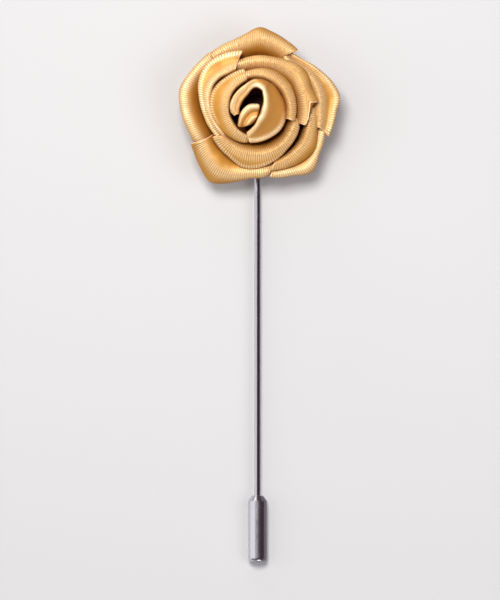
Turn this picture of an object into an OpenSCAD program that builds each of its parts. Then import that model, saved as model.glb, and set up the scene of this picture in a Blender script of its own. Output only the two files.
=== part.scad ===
// Flower lapel pin: a rose folded from satin ribbon, glued to a felt backing with a steel
// needle in it, and a push-on cap over the needle's point.
// It lies on its back: +Z is the flower's face, +Y its top, and the needle runs towards -Y.
// The origin is the middle of the backing's underside, above the needle's line.

/* [Flower] */
// Radius that the petal tables take their shares of
flower_r = 15; // [12:0.5:24]
// Height of the bud above the backing's underside
flower_h = 14; // [11:0.5:22]
// Sideways place of the spiral's centre
bud_x = -0.6; // [-2:0.1:2]
// Up-and-down place of the spiral's centre
bud_y = -0.6; // [-2:0.1:2]
// Width of the petals' foot circle as a share of their rim circle
foot_share = 0.6; // [0.5:0.02:0.8]
// Clear space between neighbouring ribbon folds
fold_gap = 0.2; // [0.1:0.05:0.4]
// How far the rounded lip of a fold drops at its edges
lip_drop = 0.8; // [0.3:0.1:1.2]

/* [Backing] */
// Radius of the felt backing
backing_r = 9.5; // [7:0.5:14]
// Thickness of the felt backing
backing_t = 2.8; // [2.7:0.1:6]

/* [Needle] */
// Diameter of the needle's wire
wire_d = 1.1; // [0.8:0.05:1.4]
// Free length of round wire, from its flattened end to the cap's mouth
wire_free = 64.2; // [30:0.2:90]
// Length of the needle's tapered point, which the cap covers
point_l = 9; // [6:0.5:11]
// Width of the wire's flattened end, most of which is inside the backing
tongue_w = 1.8; // [1.2:0.1:2.4]
// Thickness of the wire's flattened end
tongue_t = 0.5; // [0.3:0.05:0.8]
// How far the flattened end reaches out past the backing's rim
tongue_out = 0.5; // [0.2:0.1:2]
// Radius of the flat pad soldered on the wire
pad_r = 4; // [2.5:0.5:6]
// Thickness of the soldered pad
pad_t = 0.6; // [0.4:0.1:1.2]

/* [Cap] */
// Outer diameter of the cap
cap_d = 3.6; // [2.8:0.1:5]
// Length of the cap
cap_l = 12.5; // [12:0.5:20]
// Clear space round the wire in the cap's bore
bore_gap = 0.05; // [0.02:0.01:0.08]
// Length of the cap's tapered mouth
mouth_l = 1; // [0.5:0.1:2]
// Width of the cap's mouth as a share of its full width
mouth_share = 0.6; // [0.5:0.05:0.9]
// Rounding of the cap's closed end
cap_round = 0.7; // [0.3:0.1:1.2]

/* [Hidden] */
$fn = 64;
seat_gap = 0.15; // between the backing, the pad and the petals' feet
sweep_step = 5; // degrees between two sections of a petal
lip_steps = [0, 0.07, 0.22, 0.4, 0.6, 0.78, 0.93, 1]; // places across a lip, inner to outer edge
satin = "#c89a55";
steel = "#c9c9cc";
felt = "#3b3733";

point_share = 0.12; // width of the needle's blunt point against the wire's
solder_share = 0.3; // share of the pad's thickness that the flattened end is sunk into
bore_end = 1; // bore left past the needle's point

wire_r = wire_d / 2;
cap_r = cap_d / 2;
bore_r = wire_r + bore_gap;
wire_z = cap_r;
pad_z = wire_z + tongue_t / 2 - pad_t * solder_share;
foot_z = backing_t + seat_gap;
wire_y = -(backing_r + tongue_out);
cap_mouth_y = wire_y - wire_free;
rim_z = 0.67 * flower_h;

// The petal tables. A row is one section of a petal, cut by a plane through the spiral's centre:
// [clock angle, outer edge, inner edge, height at outer edge, height at inner edge].
// The angle runs clockwise from the flower's top. Edges are shares of flower_r, and heights of
// flower_h. Rows follow the ribbon clockwise, and each petal's end stands outside the next start.
ANGLE = 0;
OUTER = 1;
INNER = 2;
OUTER_H = 3;
INNER_H = 4;

outer_top = [
    [321, 0.895, 0.775, 0.64, 0.66],
    [343, 0.900, 0.775, 0.65, 0.68],
    [355, 0.975, 0.810, 0.62, 0.69],
    [364, 1.025, 0.840, 0.60, 0.69],
    [373, 0.995, 0.830, 0.62, 0.69],
    [393, 0.920, 0.765, 0.67, 0.69]
];
outer_right = [
    [394, 0.840, 0.755, 0.62, 0.62],
    [410, 0.900, 0.790, 0.64, 0.66],
    [430, 1.030, 0.830, 0.64, 0.68],
    [442, 1.090, 0.820, 0.63, 0.68],
    [452, 1.040, 0.820, 0.64, 0.68],
    [468, 1.010, 0.855, 0.65, 0.68]
];
outer_low_right = [
    [469, 0.955, 0.875, 0.58, 0.60],
    [484, 1.000, 0.935, 0.58, 0.60],
    [497, 1.075, 0.940, 0.55, 0.60],
    [510, 0.975, 0.890, 0.57, 0.60],
    [525, 0.890, 0.815, 0.60, 0.60]
];
outer_low_left = [
    [168, 0.865, 0.760, 0.60, 0.64],
    [185, 0.885, 0.765, 0.58, 0.66],
    [201, 1.000, 0.770, 0.52, 0.67],
    [212, 1.070, 0.760, 0.50, 0.68],
    [224, 0.995, 0.730, 0.54, 0.68],
    [239, 0.910, 0.690, 0.62, 0.69]
];
outer_left = [
    [240, 0.860, 0.725, 0.60, 0.62],
    [258, 0.895, 0.765, 0.64, 0.66],
    [275, 0.945, 0.820, 0.65, 0.67],
    [285, 0.970, 0.850, 0.65, 0.67],
    [302, 0.925, 0.830, 0.65, 0.67],
    [320, 0.905, 0.790, 0.66, 0.68]
];
middle_left = [
    [232, 0.595, 0.495, 0.76, 0.80],
    [262, 0.640, 0.550, 0.78, 0.82],
    [282, 0.710, 0.585, 0.79, 0.83],
    [298, 0.785, 0.600, 0.80, 0.83],
    [312, 0.820, 0.580, 0.80, 0.83],
    [326, 0.790, 0.550, 0.81, 0.84],
    [341, 0.740, 0.540, 0.82, 0.84]
];
middle_top = [
    [342, 0.640, 0.545, 0.78, 0.78],
    [362, 0.660, 0.550, 0.80, 0.81],
    [384, 0.700, 0.570, 0.81, 0.82],
    [405, 0.775, 0.600, 0.80, 0.82],
    [419, 0.800, 0.605, 0.79, 0.82],
    [436, 0.765, 0.610, 0.79, 0.82],
    [456, 0.810, 0.620, 0.78, 0.82]
];
middle_right = [
    [457, 0.795, 0.670, 0.68, 0.72],
    [470, 0.840, 0.685, 0.66, 0.72],
    [484, 0.915, 0.700, 0.62, 0.71],
    [498, 0.895, 0.705, 0.62, 0.71],
    [510, 0.850, 0.710, 0.64, 0.70],
    [522, 0.805, 0.720, 0.66, 0.70]
];
middle_bottom = [
    [100, 0.600, 0.530, 0.74, 0.76],
    [114, 0.620, 0.515, 0.76, 0.80],
    [140, 0.660, 0.530, 0.74, 0.80],
    [165, 0.725, 0.520, 0.72, 0.80],
    [189, 0.755, 0.490, 0.72, 0.81],
    [209, 0.685, 0.485, 0.76, 0.82],
    [231, 0.635, 0.500, 0.80, 0.83]
];
inner_left = [
    [196, 0.445, 0.385, 0.84, 0.88],
    [216, 0.470, 0.375, 0.85, 0.90],
    [241, 0.505, 0.350, 0.84, 0.91],
    [272, 0.560, 0.350, 0.84, 0.92],
    [294, 0.565, 0.370, 0.85, 0.92],
    [322, 0.525, 0.385, 0.87, 0.92],
    [345, 0.510, 0.395, 0.89, 0.92]
];
inner_top = [
    [346, 0.475, 0.400, 0.86, 0.88],
    [372, 0.515, 0.415, 0.86, 0.90],
    [408, 0.540, 0.425, 0.85, 0.90],
    [432, 0.530, 0.430, 0.85, 0.90],
    [467, 0.525, 0.445, 0.86, 0.90]
];
bud_roll = [
    [250, 0.265, 0.200, 0.92, 0.94],
    [264, 0.300, 0.205, 0.94, 0.96],
    [294, 0.300, 0.200, 0.95, 0.97],
    [333, 0.310, 0.205, 0.96, 0.98],
    [361, 0.365, 0.270, 0.97, 0.99],
    [384, 0.375, 0.265, 0.93, 1.00],
    [398, 0.380, 0.215, 0.88, 1.00],
    [425, 0.375, 0.150, 0.84, 1.00],
    [455, 0.400, 0.120, 0.83, 1.00],
    [487, 0.420, 0.125, 0.82, 0.99],
    [519, 0.415, 0.165, 0.82, 0.98],
    [540, 0.425, 0.255, 0.83, 0.96],
    [552, 0.435, 0.335, 0.85, 0.93]
];

// The bud's tip: [clock angle, edge], an outline about the same centre, with its height below.
bud_tip_outline = [
    [20, 0.065], [61, 0.080], [100, 0.075], [135, 0.085], [175, 0.135], [205, 0.240],
    [222, 0.285], [240, 0.210], [260, 0.165], [290, 0.085], [320, 0.065]
];
bud_tip_h = 0.9;
tip_round_z = 0.3; // where the tip's rounding has a section, as a share of lip_drop below its top
tip_round_w = 0.9; // width there against the shoulder's
tip_flat_w = 0.6; // width of the tip's top against the shoulder's

PETALS = [
    ["outer_petal_top", outer_top, 0],
    ["outer_petal_right", outer_right, 0.9],
    ["outer_petal_low_right", outer_low_right, 0],
    ["outer_petal_low_left", outer_low_left, 0],
    ["outer_petal_left", outer_left, 0],
    ["middle_petal_left", middle_left, 0.3],
    ["middle_petal_top", middle_top, 0],
    ["middle_petal_right", middle_right, 0],
    ["middle_petal_bottom", middle_bottom, 0],
    ["inner_petal_left", inner_left, 0.4],
    ["inner_petal_top", inner_top, 0],
    ["bud_roll", bud_roll, 0]
];
NAME = 0;
TABLE = 1;
DISH = 2;

// How wide the flower's bowl is at height z, against its width at the rim
function flare(z) = foot_share + (1 - foot_share) * (z - foot_z) / (rim_z - foot_z);

// The table's row number that angle a falls behind
function row_before(t, a, i = 0) = i >= len(t) - 2 || a < t[i + 1][ANGLE] ? i : row_before(t, a, i + 1);

// The slope of column c at row i, from the rows on its two sides
function slope(t, c, i) =
    let (lo = max(i - 1, 0), hi = min(i + 1, len(t) - 1))
    (t[hi][c] - t[lo][c]) / (t[hi][ANGLE] - t[lo][ANGLE]);

// Column c of table t at angle a, on a smooth curve through the rows
function smooth(t, c, a) =
    let (
        i = row_before(t, a),
        span = t[i + 1][ANGLE] - t[i][ANGLE],
        u = (a - t[i][ANGLE]) / span,
        rise = t[i + 1][c] - t[i][c],
        lift = u * u * (3 - 2 * u) * rise,
        lead = u * (1 - u) * (1 - u) * span * slope(t, c, i),
        trail = u * u * (1 - u) * span * slope(t, c, i + 1)
    )
    t[i][c] + lift + lead - trail;

// A point at radius r, clock angle a and height z
function at(r, a, z) = [bud_x + r * sin(a), bud_y + r * cos(a), z];

// One section of a petal: foot, over the lip from the inner to the outer edge, and foot again
function section(t, dish, a) =
    let (
        r_out = smooth(t, OUTER, a) * flower_r - fold_gap / 2,
        r_in = smooth(t, INNER, a) * flower_r + fold_gap / 2,
        z_out = smooth(t, OUTER_H, a) * flower_h,
        z_in = smooth(t, INNER_H, a) * flower_h,
        top = [
            for (u = lip_steps)
            let (across = 2 * u - 1, round_off = 1 - sqrt(1 - across * across))
            [
                r_in + (r_out - r_in) * u,
                z_in + (z_out - z_in) * u - lip_drop * round_off - dish * pow(1 - across * across, 2)
            ]
        ],
        first = top[0],
        last = top[len(top) - 1]
    )
    [
        at(first[0] * foot_share / flare(first[1]), a, foot_z),
        for (p = top) at(p[0], a, p[1]),
        at(last[0] * foot_share / flare(last[1]), a, foot_z)
    ];

// Sweeps a list of like sections into one closed solid
module sweep(rings) {
    n = len(rings[0]);
    m = len(rings);
    points = [for (ring = rings) each ring];
    sides = [
        for (i = [0 : m - 2], j = [0 : n - 1])
        let (a = i * n + j, b = i * n + (j + 1) % n)
        each [[a, b, b + n], [a, b + n, a + n]]
    ];
    start = [for (j = [1 : n - 2]) [0, j + 1, j]];
    end = [for (j = [1 : n - 2]) [(m - 1) * n, (m - 1) * n + j, (m - 1) * n + j + 1]];
    polyhedron(points = points, faces = concat(sides, start, end), convexity = 10);
}

module ribbon_petal(t, dish) {
    from = t[0][ANGLE];
    to = t[len(t) - 1][ANGLE];
    steps = ceil((to - from) / sweep_step);
    color(satin)
        sweep([for (i = [0 : steps]) section(t, dish, from + (to - from) * i / steps)]);
}

// The rolled start of the ribbon, standing in the bud's hollow
module bud_tip() {
    top_z = bud_tip_h * flower_h;
    shoulder_z = top_z - lip_drop;
    shoulder = flare(shoulder_z) / flare(top_z);
    levels = [
        [foot_z, foot_share / flare(top_z)],
        [shoulder_z, shoulder],
        [top_z - lip_drop * tip_round_z, shoulder * tip_round_w],
        [top_z, shoulder * tip_flat_w]
    ];
    color(satin)
        sweep([
            for (level = levels)
            [for (p = bud_tip_outline) at((p[1] * flower_r - fold_gap / 2) * level[1], p[0], level[0])]
        ]);
}

// Felt disc with a pocket for the needle's pad and a groove for its flattened end
module backing() {
    groove_w = tongue_w + 2 * seat_gap;
    pocket_r = pad_r + seat_gap;
    color(felt)
        difference() {
            cylinder(h = backing_t, r = backing_r);
            translate([0, 0, pad_z - seat_gap])
                cylinder(h = backing_t, r = pocket_r);
            translate([-groove_w / 2, -2 * backing_r, wire_z - tongue_t / 2 - seat_gap])
                cube([groove_w, 2 * backing_r + pocket_r, backing_t]);
        }
}

// Wire with a tapered point, flattened inside the backing, with a flat pad soldered on
module needle() {
    color(steel)
        union() {
            translate([0, wire_y, wire_z])
                rotate([90, 0, 0])
                    cylinder(h = wire_free, r = wire_r);
            translate([0, cap_mouth_y, wire_z])
                rotate([90, 0, 0])
                    cylinder(h = point_l, r1 = wire_r, r2 = wire_r * point_share);
            translate([-tongue_w / 2, wire_y, wire_z - tongue_t / 2])
                cube([tongue_w, pad_r - wire_y, tongue_t]);
            translate([0, 0, pad_z])
                cylinder(h = pad_t, r = pad_r);
        }
}

// Turned cap with a tapered mouth, a rounded closed end and a bore for the needle
module cap() {
    flat_r = cap_r - cap_round;
    side_l = cap_l - cap_round;
    color(steel)
        translate([0, cap_mouth_y, wire_z])
            rotate([90, 0, 0])
                difference() {
                    rotate_extrude()
                        union() {
                            polygon([
                                [0, 0], [cap_r * mouth_share, 0], [cap_r, mouth_l], [cap_r, side_l],
                                [flat_r, side_l], [flat_r, cap_l], [0, cap_l]
                            ]);
                            intersection() {
                                translate([flat_r, side_l])
                                    circle(r = cap_round);
                                translate([flat_r, side_l])
                                    square(cap_round);
                            }
                        }
                    translate([0, 0, -bore_end])
                        cylinder(h = bore_end + point_l + bore_end, r = bore_r);
                }
}

needle();
cap();
backing();
bud_tip();
for (p = PETALS)
    ribbon_petal(p[TABLE], p[DISH]);
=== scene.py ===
"""Finish of the flower lapel pin: a rose folded from satin ribbon on a polished steel needle.

The frame gives the needle, the cap and the backing their places, and the flower its foot. The
ribbon's folds are swept from petal tables close to the solids', as thin folded sheets.
"""

import math
from typing import NamedTuple

import bmesh
import bpy
import numpy as np
from bpy.props import FloatProperty, FloatVectorProperty, IntProperty, PointerProperty
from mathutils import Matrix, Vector


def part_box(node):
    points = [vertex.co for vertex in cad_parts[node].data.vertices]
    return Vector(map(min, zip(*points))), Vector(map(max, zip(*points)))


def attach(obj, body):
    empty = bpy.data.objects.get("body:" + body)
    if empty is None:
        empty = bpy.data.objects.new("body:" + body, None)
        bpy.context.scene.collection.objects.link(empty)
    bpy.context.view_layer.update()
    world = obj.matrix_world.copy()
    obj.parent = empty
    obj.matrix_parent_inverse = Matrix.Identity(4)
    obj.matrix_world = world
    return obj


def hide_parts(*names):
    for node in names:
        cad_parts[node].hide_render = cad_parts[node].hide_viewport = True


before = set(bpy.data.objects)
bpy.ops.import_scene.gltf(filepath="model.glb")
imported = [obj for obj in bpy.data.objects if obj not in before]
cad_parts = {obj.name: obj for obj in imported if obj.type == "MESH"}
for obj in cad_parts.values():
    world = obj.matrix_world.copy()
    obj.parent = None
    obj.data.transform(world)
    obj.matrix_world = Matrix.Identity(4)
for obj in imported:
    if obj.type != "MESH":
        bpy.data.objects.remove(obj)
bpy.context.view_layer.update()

bl_info = {
    "name": "Flower Lapel Pin",
    "version": (1, 0, 0),
    "blender": (4, 5, 0),
    "location": "View3D > Sidebar > Lapel Pin",
    "description": "Builds the finish of a folded satin ribbon rose on a lapel pin",
    "category": "Object",
}

MM = 0.001
BODY = "flower_pin"

# Places taken from the frame: the ribbon's foot in millimetres, the backing in metres
FOOT_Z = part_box("bud_roll")[0].z / MM
BACKING_LOW, BACKING_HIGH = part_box("backing")
BACKING_R = (BACKING_HIGH.x - BACKING_LOW.x) / 2

# The petal tables, close to the solids': a row is one section through the spiral's centre,
# (clock angle, outer edge, inner edge, height at outer edge, height at inner edge, crest).
# Edges are shares of the flower's radius, and heights of its height. The crest is how far across
# the lip the fold turns over, from its inner to its outer edge. The first row of each but the
# bud's lies tucked inside the fold before it.
OUTER_TOP = (
    (313, 0.885, 0.815, 0.60, 0.61, 0.60),
    (323, 0.895, 0.785, 0.64, 0.66, 0.65),
    (343, 0.905, 0.775, 0.65, 0.68, 0.62),
    (355, 0.960, 0.805, 0.62, 0.69, 0.50),
    (364, 1.025, 0.840, 0.60, 0.69, 0.38),
    (373, 0.995, 0.830, 0.62, 0.69, 0.38),
    (393, 0.920, 0.765, 0.67, 0.69, 0.48),
)
OUTER_RIGHT = (
    (386, 0.880, 0.800, 0.60, 0.61, 0.20),
    (396, 0.850, 0.765, 0.62, 0.63, 0.18),
    (410, 0.900, 0.790, 0.64, 0.66, 0.15),
    (430, 1.030, 0.830, 0.64, 0.68, 0.12),
    (442, 1.090, 0.820, 0.63, 0.68, 0.12),
    (452, 1.040, 0.820, 0.64, 0.68, 0.12),
    (468, 1.010, 0.855, 0.65, 0.68, 0.15),
)
OUTER_LOW_RIGHT = (
    (461, 0.955, 0.885, 0.55, 0.56, 0.60),
    (471, 0.960, 0.880, 0.58, 0.60, 0.60),
    (484, 1.000, 0.935, 0.58, 0.60, 0.60),
    (497, 1.075, 0.940, 0.55, 0.60, 0.55),
    (510, 0.975, 0.890, 0.57, 0.60, 0.50),
    (525, 0.890, 0.815, 0.60, 0.60, 0.50),
)
OUTER_LOW_LEFT = (
    (159, 0.785, 0.740, 0.58, 0.58, 0.50),
    (170, 0.865, 0.760, 0.60, 0.64, 0.60),
    (185, 0.885, 0.765, 0.58, 0.66, 0.62),
    (201, 1.000, 0.770, 0.52, 0.67, 0.60),
    (212, 1.070, 0.760, 0.50, 0.68, 0.56),
    (224, 0.995, 0.730, 0.54, 0.68, 0.54),
    (239, 0.910, 0.690, 0.62, 0.69, 0.52),
)
OUTER_LEFT = (
    (232, 0.860, 0.740, 0.58, 0.59, 0.60),
    (243, 0.865, 0.730, 0.61, 0.63, 0.65),
    (258, 0.895, 0.765, 0.64, 0.66, 0.70),
    (275, 0.945, 0.820, 0.65, 0.67, 0.70),
    (285, 0.970, 0.850, 0.65, 0.67, 0.70),
    (302, 0.925, 0.830, 0.65, 0.67, 0.70),
    (320, 0.905, 0.790, 0.66, 0.68, 0.65),
)
MIDDLE_LEFT = (
    (223, 0.595, 0.530, 0.75, 0.76, 0.08),
    (234, 0.597, 0.500, 0.76, 0.80, 0.08),
    (262, 0.640, 0.550, 0.78, 0.82, 0.08),
    (282, 0.710, 0.585, 0.79, 0.83, 0.08),
    (298, 0.785, 0.600, 0.80, 0.83, 0.08),
    (312, 0.820, 0.580, 0.80, 0.83, 0.08),
    (326, 0.790, 0.550, 0.81, 0.84, 0.08),
    (341, 0.740, 0.540, 0.82, 0.84, 0.08),
)
MIDDLE_TOP = (
    (333, 0.665, 0.580, 0.74, 0.75, 0.50),
    (344, 0.642, 0.547, 0.78, 0.79, 0.45),
    (362, 0.660, 0.550, 0.80, 0.81, 0.40),
    (384, 0.700, 0.570, 0.81, 0.82, 0.50),
    (405, 0.775, 0.600, 0.80, 0.82, 0.50),
    (419, 0.800, 0.605, 0.79, 0.82, 0.40),
    (436, 0.765, 0.610, 0.79, 0.82, 0.35),
    (456, 0.810, 0.620, 0.78, 0.82, 0.35),
)
MIDDLE_RIGHT = (
    (449, 0.760, 0.670, 0.71, 0.71, 0.35),
    (459, 0.800, 0.670, 0.70, 0.72, 0.32),
    (470, 0.840, 0.685, 0.69, 0.72, 0.30),
    (484, 0.915, 0.700, 0.67, 0.72, 0.28),
    (498, 0.895, 0.705, 0.67, 0.72, 0.26),
    (510, 0.850, 0.710, 0.68, 0.71, 0.26),
    (522, 0.805, 0.720, 0.68, 0.70, 0.26),
)
MIDDLE_BOTTOM = (
    (101, 0.510, 0.460, 0.78, 0.79, 0.40),
    (109, 0.590, 0.510, 0.76, 0.79, 0.40),
    (118, 0.625, 0.515, 0.76, 0.80, 0.40),
    (140, 0.660, 0.530, 0.74, 0.80, 0.40),
    (165, 0.725, 0.520, 0.72, 0.80, 0.40),
    (189, 0.755, 0.490, 0.72, 0.81, 0.40),
    (209, 0.685, 0.485, 0.76, 0.82, 0.40),
    (231, 0.635, 0.500, 0.80, 0.83, 0.40),
)
INNER_LEFT = (
    (187, 0.415, 0.325, 0.80, 0.84, 0.15),
    (197, 0.447, 0.355, 0.84, 0.88, 0.12),
    (216, 0.470, 0.345, 0.85, 0.90, 0.10),
    (241, 0.505, 0.322, 0.84, 0.91, 0.08),
    (272, 0.560, 0.320, 0.84, 0.92, 0.08),
    (294, 0.565, 0.332, 0.85, 0.92, 0.08),
    (322, 0.525, 0.340, 0.87, 0.92, 0.12),
    (345, 0.510, 0.360, 0.89, 0.92, 0.15),
)
INNER_TOP = (
    (337, 0.490, 0.415, 0.83, 0.85, 0.30),
    (347, 0.477, 0.401, 0.86, 0.88, 0.20),
    (372, 0.515, 0.415, 0.86, 0.90, 0.12),
    (408, 0.540, 0.425, 0.85, 0.90, 0.12),
    (432, 0.530, 0.430, 0.85, 0.90, 0.20),
    (467, 0.525, 0.445, 0.86, 0.90, 0.30),
)
BUD_ROLL = (
    (250, 0.265, 0.205, 0.92, 0.86, 0.12),
    (264, 0.300, 0.195, 0.94, 0.86, 0.10),
    (294, 0.300, 0.178, 0.95, 0.87, 0.10),
    (333, 0.310, 0.185, 0.96, 0.90, 0.18),
    (361, 0.365, 0.245, 0.97, 0.98, 0.32),
    (384, 0.375, 0.235, 0.93, 1.00, 0.22),
    (398, 0.380, 0.180, 0.88, 1.00, 0.18),
    (425, 0.375, 0.115, 0.84, 1.00, 0.14),
    (455, 0.400, 0.085, 0.83, 1.00, 0.12),
    (487, 0.420, 0.090, 0.82, 0.99, 0.12),
    (519, 0.415, 0.130, 0.82, 0.98, 0.13),
    (540, 0.425, 0.220, 0.83, 0.96, 0.18),
    (552, 0.435, 0.300, 0.85, 0.93, 0.25),
)

# A fold's reach is this less its ease, in millimetres: how far inside its crest it turns down
LONGEST_REACH = 1.4


class Fold(NamedTuple):
    """A folded length of ribbon, which stands for one petal solid.

    dish: how deep its lip is dished, in millimetres
    slant: how far its cut end slants from the inner to the outer edge, in degrees
    ease: how soon its inner side turns down (1 is a straight slope to the foot, less a shelf first)
    lean_in: how far that side leans in (1 is the bowl's own slope, 0 is upright, less leans out)
    shaded: between which shares of its length a dished lip's outer edge lies in the shade, with no painted
    highlight
    ribbed: how much it is ribbed
    """

    node: str
    table: tuple
    dish: float = 0.0
    slant: float = 0.0
    ease: float = 1.0
    lean_in: float = 1.0
    shaded: tuple = (0.0, 0.0)
    ribbed: float = 1.0

    @property
    def piece(self):
        return "ribbon_" + self.node.replace("_petal", "")

    @property
    def reach(self):
        return LONGEST_REACH - self.ease


class Ring(NamedTuple):
    """Folds round the spiral, the folds that they close round, and how shaded their two walls are."""

    folds: tuple
    inside: tuple
    inner_shade: float
    outer_shade: float


OUTER_FOLDS = (
    Fold("outer_petal_top", OUTER_TOP, slant=7, ease=0.50, ribbed=0.9),
    Fold("outer_petal_right", OUTER_RIGHT, dish=0.9, slant=4, ease=0.60, ribbed=0.8),
    Fold("outer_petal_low_right", OUTER_LOW_RIGHT, slant=3, ease=0.70, ribbed=0.7),
    Fold("outer_petal_low_left", OUTER_LOW_LEFT, slant=3, ease=0.55, ribbed=0.8),
    Fold("outer_petal_left", OUTER_LEFT, slant=2, ease=0.50, ribbed=0.6),
)
MIDDLE_FOLDS = (
    Fold("middle_petal_left", MIDDLE_LEFT, dish=0.5, slant=14, lean_in=0.25, ribbed=0.6),
    Fold("middle_petal_top", MIDDLE_TOP, slant=-24, ease=0.55),
    Fold("middle_petal_right", MIDDLE_RIGHT, slant=7, lean_in=0.2),
    Fold("middle_petal_bottom", MIDDLE_BOTTOM, dish=0.25, slant=8, ease=0.75, lean_in=0.6),
)
INNER_FOLDS = (
    Fold("inner_petal_left", INNER_LEFT, dish=0.25, lean_in=0.1, shaded=(-1.0, 0.40), ribbed=0.9),
    Fold("inner_petal_top", INNER_TOP, ease=0.80, lean_in=0.6),
)
BUD_FOLDS = (
    Fold("bud_roll", BUD_ROLL, dish=0.5, slant=-10, lean_in=-0.3, shaded=(0.30, 0.72), ribbed=0.15),
)
RINGS = {
    "outer": Ring(OUTER_FOLDS, MIDDLE_FOLDS, 0.85, 0.12),
    "middle": Ring(MIDDLE_FOLDS, INNER_FOLDS, 0.65, 1.0),
    "inner": Ring(INNER_FOLDS, BUD_FOLDS, 0.8, 1.0),
    "bud": Ring(BUD_FOLDS, (), 1.0, 1.0),
}

# The bud's tip: (clock angle, edge) of its outline, its height, the way that its upper edge faces,
# and the flat size of the ribbon's start, in metres
TIP_OUTLINE = (
    (8, 0.064), (57, 0.084), (90, 0.074), (118, 0.078), (142, 0.096), (165, 0.136), (181, 0.188),
    (200, 0.243), (214, 0.298), (222, 0.315), (232, 0.262), (244, 0.213), (256, 0.172), (275, 0.129),
    (305, 0.092), (335, 0.070),
)
TIP_H = 0.87
TIP_UP = (-0.42, 0.91, 0.0)

# Its face from its upper edge down: (way down, rise, crest, depth of shade), in millimetres but for
# the crest; the crest gets a painted highlight and the shade is painted
TIP_FACE = (
    (0.00, 0.10, 1.00, 0.0),
    (0.35, 0.28, 1.00, 0.0),
    (0.80, 0.24, 0.95, 0.0),
    (1.20, 0.00, 0.35, 0.2),
    (1.65, -0.26, 0.00, 0.5),
    (2.10, -0.22, 0.05, 0.3),
    (2.60, -0.08, 0.50, 0.0),
    (3.00, -0.14, 0.40, 0.1),
    (3.40, -0.42, 0.05, 0.8),
    (4.40, -1.05, 0.00, 1.8),
)

# Mesh of the tip: rings out from its middle, columns round it and steps down its wall
TIP_RINGS = 26
TIP_COLUMNS = 150
TIP_WALL_STEPS = 12

# How far the tip's outline rounds off and how far below its height the painted shade starts, in
# millimetres, the power of that rounding, and the painted highlight on its upper edge: in the middle,
# to each millimetre sideways and at the least
TIP_ROUNDING = 0.4
TIP_SHADE_START = 1.5
TIP_ROUND_CURVE = 8
TIP_BRIGHTNESS = (1.6, 0.4, 0.25)

# Mesh of a fold: points that measure its length, its fewest steps along, and its steps up its
# inner side, over its lip and down its outer side
LENGTH_POINTS = 200
FEWEST_STEPS = 8
INNER_STEPS = 22
LIP_STEPS = 18
OUTER_STEPS = 12

# Powers of a fold's curves: the lip's fall to its outer edge, that edge's rounding, the wall's taper
LIP_CURVE = 1.7
EDGE_CURVE = 2.3
WALL_CURVE = 1.4

# A cut end slants over this many times its slant. One that slants back by more than STEEP_SLANT
# degrees is stepped, over STEP_WIDTH of the lip from STEP_START on.
SLANT_RUN = 3.0
STEEP_SLANT = -15
STEP_START = 0.28
STEP_WIDTH = 0.2

# In millimetres: how long a curled end is, how far down its wall it curls, and how near to the
# cut end the ribbon lies without slack
CURL_RUN = 1.6
CURL_DEPTH = 2.5
LOOSE_RUN = 1.5

# A fold's crest, which gets a painted highlight and raised ribs, in millimetres: its width, what ribs
# and reach add to that, how far outside the crest its middle lies, and how much reach draws it in. It
# dulls to nothing over CREST_FALL below the fold's highest place, as less light reaches a lower crest,
# but none is duller than DULLEST_CREST.
CREST_WIDTH = 0.3
RIBS_WIDEN = 0.5
REACH_WIDENS = 0.3
CREST_OUT = 0.35
REACH_DRAWS_IN = 0.75
CREST_FALL = 2.5
DULLEST_CREST = 0.2

# The painted highlight on the outer edge of a dished lip, in millimetres: its width and what the dish
# adds to it, and the share of the fold's length over which it fades into the shade
EDGE_WIDTH = 0.2
DISH_WIDENS = 0.3
EDGE_FADE = 0.12

# The web inside a cut end: its rows, which of the fold's rows from the end it hangs on and which
# it bulges towards, its length, bulge and sag in millimetres, and what its surface holds: no painted
# highlight, and a depth that gives it painted shade
WEB_ROWS = 7
WEB_EDGE = -5
WEB_BACK = -12
WEB_LENGTH = 3
WEB_BULGE = 0.6
WEB_SAG = 1.4
WEB_FIELDS = {"crest": 0.0, "depth": 1.7, "ribs": 0.3, "loose": 0.0}

# Tints that multiply a colour: the weave's own, a golden tone of the painted highlight, and painted
# shade off the crest, in the rib furrows, on slopes, in gaps and on the felt's top under the flower
WEAVE_TINT = (0.85, 0.72, 0.70)
OFF_CREST_SHADE_TINT = (0.80, 0.72, 0.70)
GOLDEN_HIGHLIGHT_TINT = (0.97, 0.80, 0.55)
FURROW_SHADE_TINT = (0.90, 0.80, 0.60)
SLOPE_SHADE_TINT = (0.72, 0.50, 0.22)
GAP_SHADE_TINT = (0.34, 0.20, 0.08)
FELT_TOP_SHADE_TINT = (0.20, 0.08, 0.06)

# Colours of the satin's reddish patches and of its melted edge
ROSY_SATIN = (0.74, 0.41, 0.20)
MELTED_DARK = (0.66, 0.33, 0.14)
MELTED_LIGHT = (0.88, 0.60, 0.32)

# How deep below the lip, in millimetres, the painted shade starts, amber on the slopes and dark in
# the gaps, over what depth each comes in, and the most that each covers
SLOPE_START, SLOPE_RUN, SLOPE_MOST = 0.05, 1.4, 0.88
GAP_START, GAP_RUN, GAP_MOST = 3.2, 3.0, 0.90

# How far down from the felt's top the painted shade under the flower reaches, in metres
FELT_TOP_SHADE_DEPTH = 0.0001

# How far the floor reaches each way, in metres, its colour, and the sensor's height in millimetres
FLOOR_REACH = 4.0
FLOOR_COLOUR = (0.55, 0.55, 0.56, 1.0)
SENSOR_HEIGHT = 36.0

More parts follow.
